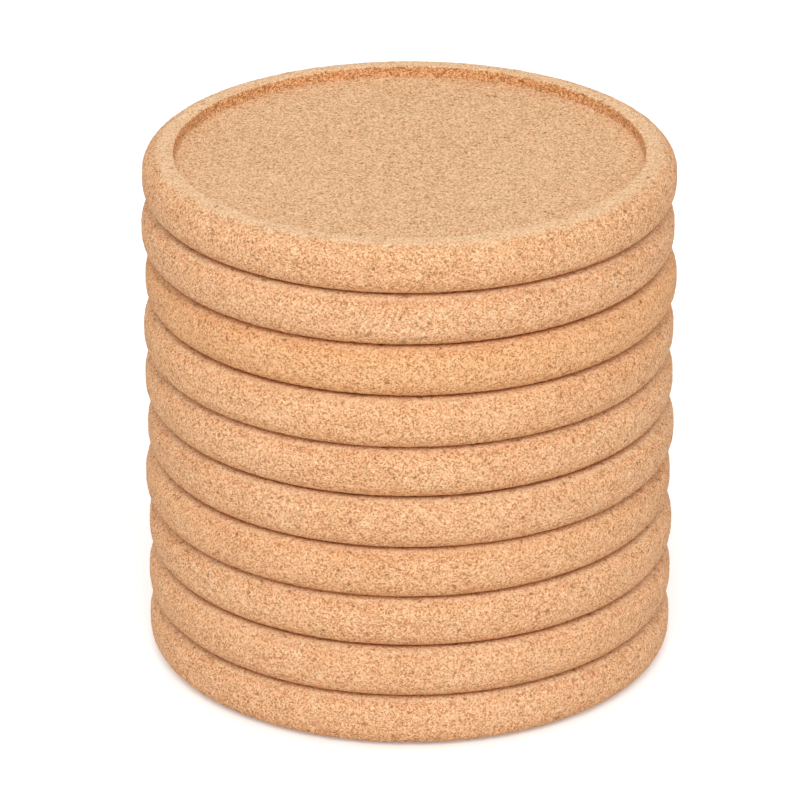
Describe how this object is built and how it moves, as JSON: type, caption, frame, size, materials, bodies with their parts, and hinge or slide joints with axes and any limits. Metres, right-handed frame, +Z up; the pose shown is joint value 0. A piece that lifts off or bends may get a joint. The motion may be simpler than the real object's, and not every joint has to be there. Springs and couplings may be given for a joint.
{
  "type": "cork coasters",
  "caption": "Stack of round cork coasters with rounded edges, each with a raised rim around a shallow recess that takes the base of a glass.",
  "frame": {"origin": "centre of the bottom coaster's underside, on the surface that the stack stands on", "axes": "+Z up along the stack's axis; the coasters are round, so X and Y are any two level directions, with -Y towards the viewer of the picture"},
  "size_m": [0.1006, 0.1006, 0.1005],
  "materials": {
    "cork": "pressed cork granules, turned and sanded, matt"
  },
  "bodies": {
    "coaster_01": {"coaster_01": "cork"},
    "coaster_02": {"coaster_02": "cork"},
    "coaster_03": {"coaster_03": "cork"},
    "coaster_04": {"coaster_04": "cork"},
    "coaster_05": {"coaster_05": "cork"},
    "coaster_06": {"coaster_06": "cork"},
    "coaster_07": {"coaster_07": "cork"},
    "coaster_08": {"coaster_08": "cork"},
    "coaster_09": {"coaster_09": "cork"},
    "coaster_10": {"coaster_10": "cork"}
  },
  "joints": [
    {"name": "lift_02", "type": "slide", "parent": "coaster_01", "child": "coaster_02", "axis": [0, 0, 1], "range_m": [0, 0.03]},
    {"name": "lift_03", "type": "slide", "parent": "coaster_02", "child": "coaster_03", "axis": [0, 0, 1], "range_m": [0, 0.03]},
    {"name": "lift_04", "type": "slide", "parent": "coaster_03", "child": "coaster_04", "axis": [0, 0, 1], "range_m": [0, 0.03]},
    {"name": "lift_05", "type": "slide", "parent": "coaster_04", "child": "coaster_05", "axis": [0, 0, 1], "range_m": [0, 0.03]},
    {"name": "lift_06", "type": "slide", "parent": "coaster_05", "child": "coaster_06", "axis": [0, 0, 1], "range_m": [0, 0.03]},
    {"name": "lift_07", "type": "slide", "parent": "coaster_06", "child": "coaster_07", "axis": [0, 0, 1], "range_m": [0, 0.03]},
    {"name": "lift_08", "type": "slide", "parent": "coaster_07", "child": "coaster_08", "axis": [0, 0, 1], "range_m": [0, 0.03]},
    {"name": "lift_09", "type": "slide", "parent": "coaster_08", "child": "coaster_09", "axis": [0, 0, 1], "range_m": [0, 0.03]},
    {"name": "lift_10", "type": "slide", "parent": "coaster_09", "child": "coaster_10", "axis": [0, 0, 1], "range_m": [0, 0.03]}
  ]
}
